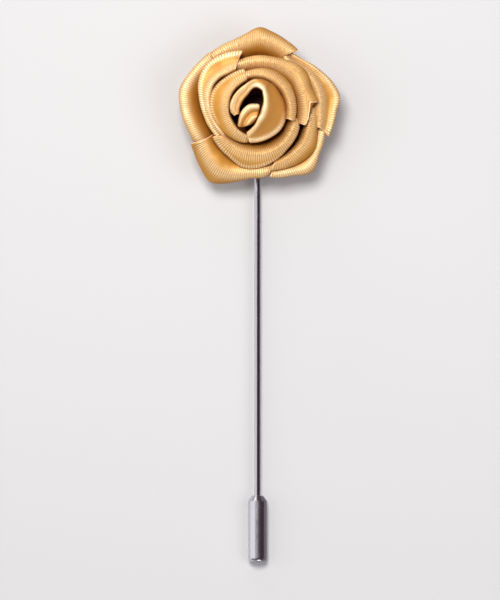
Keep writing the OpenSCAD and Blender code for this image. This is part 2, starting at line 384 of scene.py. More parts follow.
# Lamps: (name, place, width, height, power, colour, whether it shows in polished metal)
LAMPS = (
    ("key", (-0.06, 0.13, 0.48), 0.16, 0.16, 2.6, (1.0, 0.98, 0.95), True),
    ("fill", (0.30, -0.10, 0.40), 0.35, 0.35, 1.0, (0.95, 0.97, 1.0), False),
    ("side", (-0.60, -0.04, 0.36), 0.5, 0.9, 1.7, (1.0, 0.99, 1.0), True),
    ("back", (0.0, 0.5, 0.30), 0.5, 0.2, 0.3, (1.0, 0.98, 0.95), False),
    ("glint_high", (-0.15, 0.50, 0.06), 0.22, 0.16, 0.60, (1.0, 1.0, 1.0), True),
    ("glint_low", (0.12, -0.60, 0.06), 0.22, 0.16, 0.60, (1.0, 1.0, 1.0), True),
)
LAMP_TARGET = (0.0, -0.02, 0.004)

# The surroundings' colours on the left and on the right, and where across they change
ABOVE_HORIZON = ((0.27, 0.26, 0.25, 1.0), (0.075, 0.045, 0.060, 1.0))
BELOW_HORIZON = ((1.00, 0.98, 1.00, 1.0), (0.30, 0.26, 0.29, 1.0))
COLOUR_CHANGE = (0.30, 0.53)


def colour_property(name, description, default):
    return FloatVectorProperty(
        name=name, description=description, default=default, subtype="COLOR", size=3, min=0.0, max=1.0,
    )


class RibbonSettings(bpy.types.PropertyGroup):
    """Sizes and colours of the satin ribbon, in millimetres where no share is meant."""

    flower_r: FloatProperty(name="Flower radius", description="Radius that the tables share", default=15.0)
    flower_h: FloatProperty(name="Flower height", description="Height that the tables share", default=14.0)
    centre_x: FloatProperty(name="Centre X", description="Sideways place of the spiral", default=-0.6)
    centre_y: FloatProperty(name="Centre Y", description="Upward place of the spiral", default=-0.6)
    foot_share: FloatProperty(name="Foot share", description="Foot circle against the rim's", default=0.6)
    rim_share: FloatProperty(name="Rim share", description="Outer rim against the whole height", default=0.67)
    lip_drop: FloatProperty(name="Lip drop", description="How far a lip rounds off at its edges", default=0.8)
    gap: FloatProperty(name="Fold gap", description="Clear space between two folds", default=0.2)
    thickness: FloatProperty(name="Thickness", description="Thickness of the ribbon", default=0.22)
    rib_pitch: FloatProperty(name="Rib pitch", description="Distance between weft ribs", default=0.41)
    rib_height: FloatProperty(name="Rib height", description="Relief of the weft ribs", default=0.04)
    seal: FloatProperty(name="Seal", description="Radius of the melted edge of a cut end", default=0.12)
    curl: FloatProperty(name="Curl", description="How far a cut end's outer corner curls up", default=0.5)
    slack: FloatProperty(name="Slack", description="How unevenly the ribbon lies", default=0.35)
    column: FloatProperty(name="Column", description="Mesh step along the ribbon", default=0.095)
    satin: colour_property("Satin", "Colour of the satin", (0.47, 0.205, 0.014))
    # the colour of the painted highlight on a crest's ribs
    satin_highlight: colour_property("Satin bright", "Colour of the ribs on a crest", (1.0, 0.87, 0.60))
    satin_light: colour_property("Satin light", "Colour of the raised threads", (0.63, 0.325, 0.035))


class MetalSettings(bpy.types.PropertyGroup):
    """Finish of the needle and the cap."""

    needle_steel: colour_property("Needle steel", "Colour of the drawn wire", (0.45, 0.44, 0.49))
    cap_steel: colour_property("Cap steel", "Colour of the turned cap", (0.53, 0.52, 0.56))
    needle_roughness: FloatProperty(
        name="Needle roughness", description="Roughness of the drawn wire", default=0.14, min=0.0, max=1.0,
    )
    cap_roughness: FloatProperty(
        name="Cap roughness", description="Roughness of the turned cap", default=0.25, min=0.0, max=1.0,
    )


class FeltSettings(bpy.types.PropertyGroup):
    """Felt backing behind the flower, in millimetres."""

    felt: colour_property("Felt", "Colour of the felt", (0.14, 0.075, 0.035))
    rounding: FloatProperty(name="Rounding", description="Rounded edge of the felt", default=0.5)
    fibres: FloatProperty(name="Fibres", description="Loose fibres to a square millimetre", default=6.0)
    fibre_length: FloatProperty(name="Fibre length", description="Length of a fibre", default=0.7)
    fibre_light: FloatProperty(name="Lightness", description="Fibres' colour against the felt's", default=2.2)
    seed: IntProperty(name="Seed", description="Seed of the fibres' places", default=5)


class StageSettings(bpy.types.PropertyGroup):
    """Floor, camera and lights."""

    frame_height: FloatProperty(
        name="Frame height", description="Height of the picture at the pin", default=0.114, unit="LENGTH",
    )
    camera_height: FloatProperty(
        name="Camera height", description="Height of the camera over the floor", default=1.5, unit="LENGTH",
    )
    focus_height: FloatProperty(
        name="Focus height", description="Height at which the picture has its frame height", default=0.006,
        unit="LENGTH",
    )
    centre_x: FloatProperty(name="Centre X", description="Picture's centre", default=-0.0014, unit="LENGTH")
    centre_y: FloatProperty(name="Centre Y", description="Picture's centre", default=-0.0369, unit="LENGTH")


def ribbon():
    """The ribbon's settings."""
    return bpy.context.scene.pin_ribbon


def new_object(name, data):
    """An object at the origin, linked to the scene."""
    obj = bpy.data.objects.new(name, data)
    bpy.context.scene.collection.objects.link(obj)
    return obj


def plain_mesh(obj):
    """Applies every modifier of obj and leaves a plain mesh."""
    graph = bpy.context.evaluated_depsgraph_get()
    mesh = bpy.data.meshes.new_from_object(obj.evaluated_get(graph))
    obj.modifiers.clear()
    obj.data = mesh


# Tables and sections


def smooth_columns(table, places):
    """Every column of a table at places in its first column, on a smooth curve through its rows."""
    rows = np.array(table, float)
    knots = rows[:, 0]
    count = len(rows)
    low = np.maximum(np.arange(count) - 1, 0)
    high = np.minimum(np.arange(count) + 1, count - 1)
    slopes = (rows[high] - rows[low]) / (knots[high] - knots[low])[:, None]
    i = np.clip(np.searchsorted(knots, places, side="right") - 1, 0, count - 2)
    span = knots[i + 1] - knots[i]
    u = ((places - knots[i]) / span)[:, None]
    span = span[:, None]
    lift = u * u * (3 - 2 * u) * (rows[i + 1] - rows[i])
    lead = u * (1 - u) ** 2 * span * slopes[i]
    trail = u * u * (1 - u) * span * slopes[i + 1]
    return rows[i] + lift + lead - trail


def running_length(points):
    """How far along a line of points each of them lies."""
    steps = np.linalg.norm(np.diff(points, axis=0), axis=1)
    return np.concatenate([[0], np.cumsum(steps)])


def flare(z):
    """How wide the flower's bowl is at height z, against its width at the rim."""
    s = ribbon()
    return s.foot_share + (1 - s.foot_share) * (z - FOOT_Z) / (s.rim_share * s.flower_h - FOOT_Z)


def at(radius, angle, z):
    """Points at a radius and a clock angle round the spiral's centre, at height z."""
    s = ribbon()
    turn = np.radians(angle)
    return np.stack([s.centre_x + radius * np.sin(turn), s.centre_y + radius * np.cos(turn), z], axis=-1)


class Lip(NamedTuple):
    """A fold's lip at each place along it: the radii and heights of its two edges, and its crest."""

    r_in: np.ndarray
    r_out: np.ndarray
    z_in: np.ndarray
    z_out: np.ndarray
    crest: np.ndarray

    @property
    def width(self):
        return self.r_out - self.r_in


def fold_lip(table):
    """A fold's clock angles at even steps along it, how far along they lie, and its lip there."""
    s = ribbon()
    coarse = smooth_columns(table, np.linspace(table[0][0], table[-1][0], LENGTH_POINTS))
    middle_r = (coarse[:, 1] + coarse[:, 2]) / 2 * s.flower_r
    run = running_length(at(middle_r, coarse[:, 0], coarse[:, 3] * s.flower_h))
    steps = max(FEWEST_STEPS, int(run[-1] / s.column))
    along = np.linspace(0, run[-1], steps + 1)
    angles = np.interp(along, run, coarse[:, 0])
    rows = smooth_columns(table, angles)
    half = s.gap / 2
    lip = Lip(
        r_in=(rows[:, 2] * s.flower_r + half)[:, None],
        r_out=(rows[:, 1] * s.flower_r - half)[:, None],
        z_in=(rows[:, 4] * s.flower_h)[:, None],
        z_out=(rows[:, 3] * s.flower_h)[:, None],
        crest=rows[:, 5:6],
    )
    return angles, along, lip


def over_lip(lip, dish):
    """Radii and heights from the crest over the lip to its rounded outer edge."""
    beyond = np.sin(np.linspace(0, 1, LIP_STEPS + 1) * math.pi / 2)[None, :]
    across = lip.crest + (1 - lip.crest) * beyond
    radius = lip.r_in + lip.width * across
    height = lip.z_in + (lip.z_out - lip.z_in) * across ** LIP_CURVE - dish * (4 * across * (1 - across)) ** 2
    height = height - ribbon().lip_drop * (1 - (1 - beyond ** EDGE_CURVE) ** (1 / EDGE_CURVE))
    return radius, height


def outer_side(edge_r, edge_z):
    """Radii and heights from the lip's outer edge down to the foot."""
    fall = np.linspace(0, 1, OUTER_STEPS + 1)[None, 1:]
    foot_r = edge_r * ribbon().foot_share / flare(edge_z)
    return edge_r - (edge_r - foot_r) * fall ** WALL_CURVE, edge_z + (FOOT_Z - edge_z) * fall


def inner_side(fold, lip, crest_r, crest_z):
    """Radii and heights of one curve from the foot over a knee to the crest, where it meets the lip."""
    # the slope of the lip's height at the crest
    slope = (lip.z_out - lip.z_in) * LIP_CURVE * lip.crest ** (LIP_CURVE - 1) / lip.width
    slope = slope - fold.dish * 32 * lip.crest * (1 - lip.crest) * (1 - 2 * lip.crest) / lip.width
    turn_r = np.minimum(lip.r_in, crest_r - fold.reach)
    turn_z = crest_z - slope * (crest_r - turn_r)
    foot_r = lip.r_in * (1 - fold.lean_in * (1 - ribbon().foot_share / flare(lip.z_in)))
    knee_r = (lip.r_in + foot_r) / 2
    knee_z = lip.z_in - 0.5 * fold.ease * (lip.z_in - FOOT_Z)
    u = np.linspace(0, 1, INNER_STEPS + 1)[None, :-1]
    weights = ((1 - u) ** 3, 3 * u * (1 - u) ** 2, 3 * u * u * (1 - u), u ** 3)
    radius = sum(w * x for w, x in zip(weights, (foot_r, knee_r, turn_r, crest_r)))
    height = sum(w * x for w, x in zip(weights, (FOOT_Z, knee_z, turn_z, crest_z)))
    return radius, height


def ring_inside(angles, height, folds):
    """Radius of the given folds at each angle and height, 0 where there are none."""
    s = ribbon()
    found = np.zeros_like(height)
    for fold in folds:
        first, last = fold.table[0][0], fold.table[-1][0]
        for turn in (-360, 0, 360):
            here = (angles + turn >= first) & (angles + turn <= last)
            if not here.any():
                continue
            rows = smooth_columns(fold.table, angles[here] + turn)
            edge = rows[:, 1] * s.flower_r / flare(rows[:, 3] * s.flower_h)
            found[here] = np.maximum(found[here], edge[:, None] * flare(height[here]))
    return found


def slanted_and_curled(fold, lip, angles, along, radius, height, edge_z):
    """Points of a fold, with its cut end slanted and that end's outer corner curled up."""
    across = np.clip((radius - lip.r_in) / lip.width, 0, 1)
    if fold.slant < STEEP_SLANT:
        step = np.clip((across - STEP_START) / STEP_WIDTH, 0, 1)
        across = step * step * (3 - 2 * step)
    slant_run = max(SLANT_RUN * abs(fold.slant), 1e-6)
    near_end = np.clip(1 - (fold.table[-1][0] - angles) / slant_run, 0, 1) ** 1.5
    turned = angles[:, None] + fold.slant * near_end[:, None] * (across - 0.5)
    tail = np.clip(1 - (along[-1] - along) / CURL_RUN, 0, 1)[:, None] ** 2
    near_top = np.clip((height - edge_z) / CURL_DEPTH + 1, 0, 1)
    return at(radius, turned, height + ribbon().curl * tail * across ** 2 * near_top)


def crest_field(fold, lip, along, radius, crest_r):
    """Where the ribbon turns over, which gets a painted highlight and raised ribs: at the crest, and at a
    dished lip's outer edge.
    """
    width = CREST_WIDTH + RIBS_WIDEN * fold.ribbed + REACH_WIDENS * fold.reach * fold.ribbed
    # a lower crest gets less painted highlight, as less light reaches it
    low = np.clip(1 - (lip.z_in.max() - lip.z_in) / CREST_FALL, DULLEST_CREST, 1)
    beside = radius - crest_r - CREST_OUT + REACH_DRAWS_IN * fold.reach
    crests = low * np.exp(-(beside / width) ** 2)
    if not fold.dish:
        return crests
    # painted highlight on the outer edge, left off where it lies in the shade
    share = along / along[-1]
    outside_shade = np.maximum(fold.shaded[0] - share, share - fold.shaded[1])
    lit = np.clip(outside_shade / EDGE_FADE + 0.5, 0, 1)[:, None]
    width = EDGE_WIDTH + DISH_WIDENS * fold.dish
    return np.maximum(crests, lit * np.exp(-((radius - lip.r_out + width) / width) ** 2))


def fold_grid(fold, ring):
    """Points of a folded ribbon, a row to each step along it, with what its surface holds there."""
    angles, along, lip = fold_lip(fold.table)
    lip_r, lip_z = over_lip(lip, fold.dish)
    crest_r, edge_z = lip_r[:, :1], lip_z[:, -1:]
    out_r, out_z = outer_side(lip_r[:, -1:], edge_z)
    in_r, in_z = inner_side(fold, lip, crest_r, lip_z[:, :1])
    clear = ring_inside(angles, in_z, ring.inside) + ribbon().gap
    in_r = np.minimum(np.maximum(in_r, clear), crest_r)

    radius = np.hstack([in_r, lip_r, out_r])
    height = np.hstack([in_z, lip_z, out_z])
    top = np.maximum(height.max(axis=1, keepdims=True), 0)
    points = slanted_and_curled(fold, lip, angles, along, radius, height, edge_z)
    fields = {
        # where to paint highlight and raise ribs, and how deep each point lies, for its painted shade
        "crest": crest_field(fold, lip, along, radius, crest_r),
        "depth": np.hstack([(top - in_z) * ring.inner_shade, 0 * lip_z, (top - out_z) * ring.outer_shade]),
        "ribs": fold.ribbed,
        "loose": np.clip((along[-1] - along) / LOOSE_RUN, 0, 1)[:, None],
    }
    return points, along, fields


def end_web(points, dish):
    """Grid of the ribbon's inner layer, which shows inside a fold's cut end and sags with its dish."""
    edge = points[WEB_EDGE]
    half = edge.shape[0] // 2
    near, far = edge[:half], edge[::-1][:half]
    inwards = points[WEB_BACK] - edge
    inwards = inwards / np.linalg.norm(inwards, axis=1, keepdims=True)
    rows = []
    for share in np.linspace(0, 1, WEB_ROWS):
        bulge = 4 * share * (1 - share)
        row = near * (1 - share) + far * share + inwards[:half] * WEB_BULGE * bulge
        row[:, 2] -= WEB_SAG * dish * bulge
        rows.append(row)
    return np.stack(rows, axis=0), np.linspace(0, WEB_LENGTH, WEB_ROWS), WEB_FIELDS


def grid_mesh(name, *grids):
    """A mesh of grids of points, with one UV map in centimetres along and across the ribbon."""
    verts, faces, marks, layers = [], [], [], {}
    for points, along, fields in grids:
        rows, columns = points.shape[:2]
        index = sum(len(v) for v in verts) + np.arange(rows * columns).reshape(rows, columns)
        corners = (index[:-1, :-1], index[:-1, 1:], index[1:, 1:], index[1:, :-1])
        faces.append(np.stack(corners, axis=-1).reshape(-1, 4))
        verts.append(points.reshape(-1, 3) * MM)
        over = running_length(points[rows // 2])
        u = np.repeat(along[:, None], columns, axis=1).reshape(-1)
        v = np.repeat(over[None, :], rows, axis=0).reshape(-1)
        marks.append(np.stack([u, v], axis=-1))
        layers.setdefault("along", []).append(u)
        for title, values in fields.items():
            layers.setdefault(title, []).append(np.broadcast_to(values, (rows, columns)).reshape(-1))
    mesh = bpy.data.meshes.new(name)
    mesh.from_pydata(np.concatenate(verts).tolist(), [], np.concatenate(faces).tolist())
    for title, values in layers.items():
        layer = mesh.attributes.new(title, "FLOAT", "POINT")
        layer.data.foreach_set("value", np.concatenate(values).astype(np.float32))
    corner = np.zeros(len(mesh.loops), np.int32)
    mesh.loops.foreach_get("vertex_index", corner)
    uv = mesh.uv_layers.new(name="ribbon")
    uv.data.foreach_set("uv", np.concatenate(marks)[corner].astype(np.float32).reshape(-1) / 10)
    mesh.polygons.foreach_set("use_smooth", [True] * len(mesh.polygons))
    mesh.update()
    return mesh


# Nodes


def feed(tree, socket, value):
    """Sets a socket to a value, or links it to the output that feeds it."""
    if isinstance(value, bpy.types.NodeSocket):
        tree.links.new(value, socket)
    else:
        socket.default_value = value


def feed_inputs(tree, node, inputs):
    """Feeds a node's inputs by their titles."""
    for title, value in inputs.items():
        feed(tree, node.inputs[title.replace("_", " ")], value)


def add_node(tree, kind, settings=None, **inputs):
    """A node with its settings made and its inputs fed. Their titles have underscores for spaces."""
    node = tree.nodes.new(kind)
    for title, value in (settings or {}).items():
        setattr(node, title, value)
    feed_inputs(tree, node, inputs)
    return node


def math_node(tree, operation, *values):
    """The result of one operation on values and outputs."""
    node = add_node(tree, "ShaderNodeMath", {"operation": operation})
    for socket, value in zip(node.inputs, values):
        feed(tree, socket, value)
    return node.outputs[0]


def limited(tree, value, low, high):
    """The value, held between low and high."""
    return math_node(tree, "MINIMUM", math_node(tree, "MAXIMUM", value, low), high)


def noise(tree, place, scale, detail=2.0, roughness=0.5):
    """Noise from 0 to 1 over a place."""
    shape = {"Vector": place, "Scale": scale, "Detail": detail, "Roughness": roughness}
    return add_node(tree, "ShaderNodeTexNoise", **shape).outputs[0]


# Geometry node trees


def new_tree(name, inputs):
    """An empty geometry tree with named inputs. Returns the tree, its inputs and its output node."""
    tree = bpy.data.node_groups.new(name, "GeometryNodeTree")
    tree.interface.new_socket("Geometry", in_out="INPUT", socket_type="NodeSocketGeometry")
    for title, default in inputs.items():
        kind = "NodeSocketInt" if isinstance(default, int) else "NodeSocketFloat"
        socket = tree.interface.new_socket(title, in_out="INPUT", socket_type=kind)
        socket.default_value = default
    tree.interface.new_socket("Material", in_out="INPUT", socket_type="NodeSocketMaterial")
    tree.interface.new_socket("Geometry", in_out="OUTPUT", socket_type="NodeSocketGeometry")
    return tree, tree.nodes.new("NodeGroupInput").outputs, tree.nodes.new("NodeGroupOutput")


def finish_tree(tree, shape, asked, end):
    """Ends a tree: real geometry with the tree's own material."""
    real = add_node(tree, "GeometryNodeRealizeInstances", Geometry=shape).outputs[0]
    paint = add_node(tree, "GeometryNodeSetMaterial", Geometry=real, Material=asked["Material"])
    tree.links.new(paint.outputs[0], end.inputs[0])
    return tree


def place_field(tree):
    """Where each point lies."""
    return tree.nodes.new("GeometryNodeInputPosition").outputs[0]


def named_field(tree, title):
    """What the mesh holds under a name, at each point."""
    return add_node(
        tree, "GeometryNodeInputNamedAttribute", {"data_type": "FLOAT"}, Name=title,
    ).outputs["Attribute"]


def random_value(tree, low, high):
    """A node that gives a random value between low and high."""
    node = add_node(tree, "FunctionNodeRandomValue", {"data_type": "FLOAT"})
    node.inputs[2].default_value = low
    node.inputs[3].default_value = high
    return node


def round_tube(tree, line, sides, scale):
    """A round tube along a line, with a radius of scale in millimetres."""
    ring = add_node(tree, "GeometryNodeCurvePrimitiveCircle", Resolution=sides, Radius=MM).outputs[0]
    return add_node(tree, "GeometryNodeCurveToMesh", Curve=line.outputs[0], Profile_Curve=ring, Scale=scale)


def weft_rib_tree():
    """Gives the ribbon slack, and raises its weft ribs, most where it turns over the lip."""
    tree, asked, end = new_tree("Weft ribs", {
        "Pitch": 0.38,
        "Height": 0.02,
        "Slack": 0.3,
        "Flat share": 0.06,
    })
    turn = math_node(tree, "MULTIPLY", named_field(tree, "along"), 2 * math.pi)
    wave = math_node(tree, "SINE", math_node(tree, "DIVIDE", turn, asked["Pitch"]))
    over = math_node(tree, "MAXIMUM", named_field(tree, "crest"), asked["Flat share"])
    over = math_node(tree, "MULTIPLY", over, named_field(tree, "ribs"))
    ribs = math_node(tree, "MULTIPLY", math_node(tree, "MULTIPLY", wave, over), asked["Height"])
    uneven = math_node(tree, "SUBTRACT", noise(tree, place_field(tree), scale=260.0, detail=1.5), 0.5)
    soft = math_node(tree, "MULTIPLY", uneven, asked["Slack"])
    soft = math_node(tree, "MULTIPLY", soft, named_field(tree, "loose"))
    metres = math_node(tree, "MULTIPLY", math_node(tree, "ADD", ribs, soft), MM)
    normal = tree.nodes.new("GeometryNodeInputNormal").outputs["Normal"]
    offset = add_node(tree, "ShaderNodeVectorMath", {"operation": "SCALE"}, Vector=normal, Scale=metres)
    move = add_node(tree, "GeometryNodeSetPosition", Geometry=asked["Geometry"], Offset=offset.outputs[0])
    return finish_tree(tree, move.outputs[0], asked, end)


def sealed_edge_tree():
    """Runs a melted bead, uneven in thickness, along lines of edges."""
    tree, asked, end = new_tree("Sealed edge", {"Radius": 0.12, "Unevenness": 0.5})
    curve = add_node(tree, "GeometryNodeMeshToCurve", Mesh=asked["Geometry"])
    even = add_node(
        tree, "GeometryNodeResampleCurve", {"mode": "LENGTH"}, Curve=curve.outputs[0], Length=0.12 * MM,
    )
    uneven = math_node(tree, "SUBTRACT", noise(tree, place_field(tree), scale=1600.0), 0.5)
    swell = math_node(tree, "MULTIPLY", uneven, asked["Unevenness"])
    swell = math_node(tree, "MULTIPLY_ADD", swell, 2.0, 1.0)
    tube = round_tube(tree, even, sides=7, scale=math_node(tree, "MULTIPLY", swell, asked["Radius"]))
    tube.inputs["Fill Caps"].default_value = True
    return finish_tree(tree, tube.outputs[0], asked, end)


def fibre_tree():
    """Scatters short bent fibres over a surface, above a lowest height."""
    tree, asked, end = new_tree("Felt fibres", {
        "Density": 5.0,
        "Length": 0.8,
        "Radius": 0.012,
        "Lowest": 0.75,
        "Seed": 5,
    })
    parts = add_node(tree, "ShaderNodeSeparateXYZ", Vector=place_field(tree))
    height = math_node(tree, "DIVIDE", parts.outputs["Z"], MM)
    density = math_node(tree, "DIVIDE", asked["Density"], MM * MM)
    spread = add_node(
        tree, "GeometryNodeDistributePointsOnFaces",
        Mesh=asked["Geometry"], Density=density, Seed=asked["Seed"],
    )
    hair = add_node(
        tree, "GeometryNodeCurveQuadraticBezier",
        Resolution=4, Start=(0.0, 0.0, 0.0), Middle=(0.5 * MM, 0.15 * MM, 0.35 * MM),
        End=(1.0 * MM, -0.05 * MM, 0.08 * MM),
    )
    turn = random_value(tree, low=0.0, high=2 * math.pi)
    tree.links.new(asked["Seed"], turn.inputs["Seed"])
    spin = add_node(tree, "FunctionNodeAxisAngleToRotation", Axis=(0.0, 0.0, 1.0), Angle=turn.outputs[1])
    aim = add_node(
        tree, "FunctionNodeRotateRotation", {"rotation_space": "LOCAL"},
        Rotation=spread.outputs["Rotation"], Rotate_By=spin.outputs[0],
    )
    size = random_value(tree, low=0.5, high=1.3)
    copies = add_node(
        tree, "GeometryNodeInstanceOnPoints",
        Points=spread.outputs["Points"],
        Selection=math_node(tree, "GREATER_THAN", height, asked["Lowest"]),
        Instance=round_tube(tree, hair, sides=3, scale=asked["Radius"]).outputs[0],
        Rotation=aim.outputs[0],
        Scale=math_node(tree, "MULTIPLY", size.outputs[1], asked["Length"]),
    )
    return finish_tree(tree, copies.outputs[0], asked, end)


def add_tree(obj, tree, values):
    """Puts a geometry tree on obj and sets its inputs by their identifiers."""
    modifier = obj.modifiers.new(tree.name, "NODES")
    modifier.node_group = tree
    for item in tree.interface.items_tree:
        if item.item_type == "SOCKET" and item.in_out == "INPUT" and item.name in values:
            modifier[item.identifier] = values[item.name]


# Ribbon


def finish_ribbon(obj, node, rib_height, slack):
    """Gives a sheet of ribbon its ribs, satin and thickness, hides the petal solid that it stands for and
    hangs it on the pin's body.
    """
    s = ribbon()
    tree = bpy.data.node_groups.get("Weft ribs") or weft_rib_tree()
    add_tree(obj, tree, {
        "Pitch": s.rib_pitch, "Height": rib_height, "Slack": slack, "Material": satin_material(),
    })
    thick = obj.modifiers.new("Thickness", "SOLIDIFY")
    thick.thickness = s.thickness * MM
    thick.offset = -1.0
    plain_mesh(obj)
    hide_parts(node)
    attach(obj, BODY)


def make_ring(name):
    """Every fold of a ring, each one piece that stands for one petal solid."""
    s = ribbon()
    ring = RINGS[name]
    for fold in ring.folds:
        points, along, fields = fold_grid(fold, ring)
        mesh = grid_mesh(fold.piece, (points, along, fields), end_web(points, fold.dish))
        finish_ribbon(new_object(fold.piece, mesh), fold.node, s.rib_height, s.slack)


def closed_curve(knots, count):
    """Smooth closed curve through (angle, radius) knots: evenly spaced angles and their radii."""
    angles = np.array([k[0] for k in knots], float)
    radii = np.array([k[1] for k in knots], float)
    wrapped = np.concatenate([angles[-3:] - 360, angles, angles[:3] + 360])
    around = np.concatenate([radii[-3:], radii, radii[:3]])
    table = np.stack([wrapped, around], axis=1)
    even = np.linspace(0, 360, count, endpoint=False)
    even = np.where(even < wrapped[0], even + 360, even)
    return even, smooth_columns(table, even)[:, 1]


def upper_edge(side, up):
    """The part of the tip's outline above the line between its two side corners, from left to right."""
    corners = [np.argmin(side), np.argmax(side)]
    chord = np.interp(side, side[corners], up[corners])
    above = np.flatnonzero(up >= chord)
    above = above[np.argsort(side[above])]
    return side[above], up[above]


def tip_grid():
    """Points of the bud's tip from its middle out to its outline and down its wall, with its fields."""
    s = ribbon()
    angles, radii = closed_curve(TIP_OUTLINE, TIP_COLUMNS)
    outline = at((radii * s.flower_r - s.gap / 2), angles, np.full(TIP_COLUMNS, TIP_H * s.flower_h))
    middle = outline.mean(axis=0)
    out = outline - middle
    side, up = out @ np.array((TIP_UP[1], -TIP_UP[0], 0.0)), out @ np.array(TIP_UP)
    edge = upper_edge(side, up)
    bright, to_side, least = TIP_BRIGHTNESS
    rows, crests, shades = [], [], []
    for i in range(TIP_RINGS + 1):
        share = math.sin(i / TIP_RINGS * math.pi / 2)
        down = np.interp(side * share, *edge) - up * share
        face = smooth_columns(TIP_FACE, np.clip(down, 0, TIP_FACE[-1][0]))
        row = middle + out * share
        row[:, 2] += face[:, 1] - TIP_ROUNDING * (1 - math.sqrt(max(0.0, 1 - share ** TIP_ROUND_CURVE)))
        rows.append(row)
        # painted highlight along the upper edge, brighter towards one side
        crests.append(np.clip(face[:, 2], 0, 1) * np.clip(bright + to_side * side * share, least, 1))
        shades.append(np.maximum(face[:, 3], 0))
    rim, rim_shade = rows[-1], shades[-1]
    centre = np.array([s.centre_x, s.centre_y])
    for i in range(1, TIP_WALL_STEPS + 1):
        fall = i / TIP_WALL_STEPS
        z = rim[:, 2] * (1 - fall) + FOOT_Z * fall
        shrink = flare(z) / flare(rim[:, 2])
        rows.append(np.column_stack([centre + (rim[:, :2] - centre) * shrink[:, None], z]))
        crests.append(np.zeros(TIP_COLUMNS))
        shades.append(rim_shade)
    points, crests, shades = (np.stack(values, axis=1) for values in (rows, crests, shades))
    points, crests, shades = (np.concatenate([v, v[:1]], axis=0) for v in (points, crests, shades))
    depth = np.maximum(TIP_H * s.flower_h - TIP_SHADE_START - points[:, :, 2], 0) + shades
    fields = {"crest": crests, "depth": depth, "ribs": 0.5, "loose": 1.0}
    return points, running_length(points[:, TIP_RINGS]), fields


def make_bud_tip():
    """The ribbon's rolled start: a fold with a painted highlight along its upper edge, a dished face and a
    thin lower edge.
    """
    s = ribbon()
    obj = new_object("ribbon_bud_tip", grid_mesh("ribbon_bud_tip", tip_grid()))
    bm = bmesh.new()
    bm.from_mesh(obj.data)
    bmesh.ops.remove_doubles(bm, verts=bm.verts, dist=1e-6)
    bmesh.ops.recalc_face_normals(bm, faces=bm.faces)
    bm.to_mesh(obj.data)
    bm.free()
    finish_ribbon(obj, "bud_tip", s.rib_height * 0.4, s.slack * 0.5)


# Materials


def new_material(name):
    """A material, its node tree and its main shader."""
    material = bpy.data.materials.new(name)
    material.use_nodes = True
    return material, material.node_tree, material.node_tree.nodes["Principled BSDF"]


def tinted(colour, tint):
    """A colour multiplied by a tint, channel by channel."""
    return tuple(c * f for c, f in zip(colour, tint))


def scaled(colour, share):
    """A colour made lighter or darker, up to full brightness."""
    return tuple(min(1.0, c * share) for c in colour)


def mix_colours(tree, factor, first, second):
    """Mixes two colours. Each is a colour, or the output that gives it."""
    node = add_node(tree, "ShaderNodeMix", {"data_type": "RGBA"})
    tree.links.new(factor, node.inputs[0])
    for socket, colour in ((node.inputs[6], first), (node.inputs[7], second)):
        feed(tree, socket, colour if isinstance(colour, bpy.types.NodeSocket) else (*colour, 1.0))
    return node.outputs[2]


def surface_value(tree, title):
    """What the ribbon's mesh holds under a name, at each point."""
    return add_node(tree, "ShaderNodeAttribute", {"attribute_name": title}).outputs["Fac"]


def object_place(tree):
    """Where each point lies in the object's own coordinates."""
    return tree.nodes.new("ShaderNodeTexCoord").outputs["Object"]


def bumped(tree, height, strength, distance):
    """A normal that follows a height."""
    return add_node(
        tree, "ShaderNodeBump", Strength=strength, Distance=distance, Height=height,
    ).outputs[0]


class Threads(NamedTuple):
    """Outputs that the satin's colours are mixed from."""

    place: bpy.types.NodeSocket
    crest: bpy.types.NodeSocket
    smooth: bpy.types.NodeSocket
    floats: bpy.types.NodeSocket
    rib: bpy.types.NodeSocket
    furrow: bpy.types.NodeSocket
    twill: bpy.types.NodeSocket
    clouds: bpy.types.NodeSocket


def satin_threads(tree):
    """Long floats along the ribbon, the weft ribs that cross it, and a slanted twill."""
    place = add_node(tree, "ShaderNodeUVMap", {"uv_map": "ribbon"}).outputs[0]
    ribbed = surface_value(tree, "ribs")
    streaks = add_node(tree, "ShaderNodeMapping", Vector=place, Scale=(3.0, 110.0, 1.0))
    along = add_node(tree, "ShaderNodeSeparateXYZ", Vector=place).outputs["X"]
    turns = math_node(tree, "MULTIPLY", along, 10 * 2 * math.pi / ribbon().rib_pitch)
    wander = math_node(tree, "MULTIPLY", noise(tree, place, scale=14.0), 1.2)
    turns = math_node(tree, "ADD", turns, wander)
    furrow = math_node(tree, "SUBTRACT", 1.0, math_node(tree, "SINE", turns))
    furrow = math_node(tree, "MULTIPLY", math_node(tree, "MULTIPLY", furrow, 0.5), ribbed)
    twill = add_node(
        tree, "ShaderNodeTexWave", {"bands_direction": "DIAGONAL"}, Vector=place, Scale=17.0, Distortion=1.0,
    )
    return Threads(
        place=place,
        crest=surface_value(tree, "crest"),
        smooth=math_node(tree, "SUBTRACT", 1.0, ribbed),
        floats=noise(tree, streaks.outputs[0], scale=1.0, detail=3.0, roughness=0.65),
        rib=math_node(tree, "SUBTRACT", 1.0, furrow),
        furrow=furrow,
        twill=twill.outputs["Fac"],
        clouds=noise(tree, place, scale=3.0),
    )


